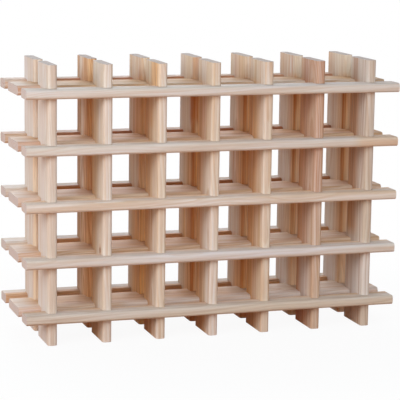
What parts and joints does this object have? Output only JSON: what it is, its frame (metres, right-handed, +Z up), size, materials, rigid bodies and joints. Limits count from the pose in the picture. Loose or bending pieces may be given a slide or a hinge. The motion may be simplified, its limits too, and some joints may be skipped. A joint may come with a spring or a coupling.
{
  "type": "wine rack",
  "caption": "Free-standing lattice wine rack of plain pine slats, cross-lapped like an egg crate, whose square open cells each hold a bottle lying on its side.",
  "frame": {"origin": "on the floor, below the middle of the rack", "axes": "+X to the right seen from the front, +Y from the front to the back, +Z up"},
  "size_m": [0.742, 0.24, 0.53],
  "materials": {
    "natural_pine": "planed and sanded, untreated, matte, with visible grain"
  },
  "bodies": {
    "root": {"front_upright_1": "natural_pine", "rear_upright_1": "natural_pine", "front_upright_2": "natural_pine", "rear_upright_2": "natural_pine", "front_upright_3": "natural_pine", "rear_upright_3": "natural_pine", "front_upright_4": "natural_pine", "rear_upright_4": "natural_pine", "front_upright_5": "natural_pine", "rear_upright_5": "natural_pine", "front_upright_6": "natural_pine", "rear_upright_6": "natural_pine", "front_upright_7": "natural_pine", "rear_upright_7": "natural_pine", "front_rail_1": "natural_pine", "middle_rail_1": "natural_pine", "rear_rail_1": "natural_pine", "front_rail_2": "natural_pine", "middle_rail_2": "natural_pine", "rear_rail_2": "natural_pine", "front_rail_3": "natural_pine", "middle_rail_3": "natural_pine", "rear_rail_3": "natural_pine", "front_rail_4": "natural_pine", "middle_rail_4": "natural_pine", "rear_rail_4": "natural_pine", "front_rail_5": "natural_pine", "middle_rail_5": "natural_pine", "rear_rail_5": "natural_pine"}
  },
  "joints": []
}
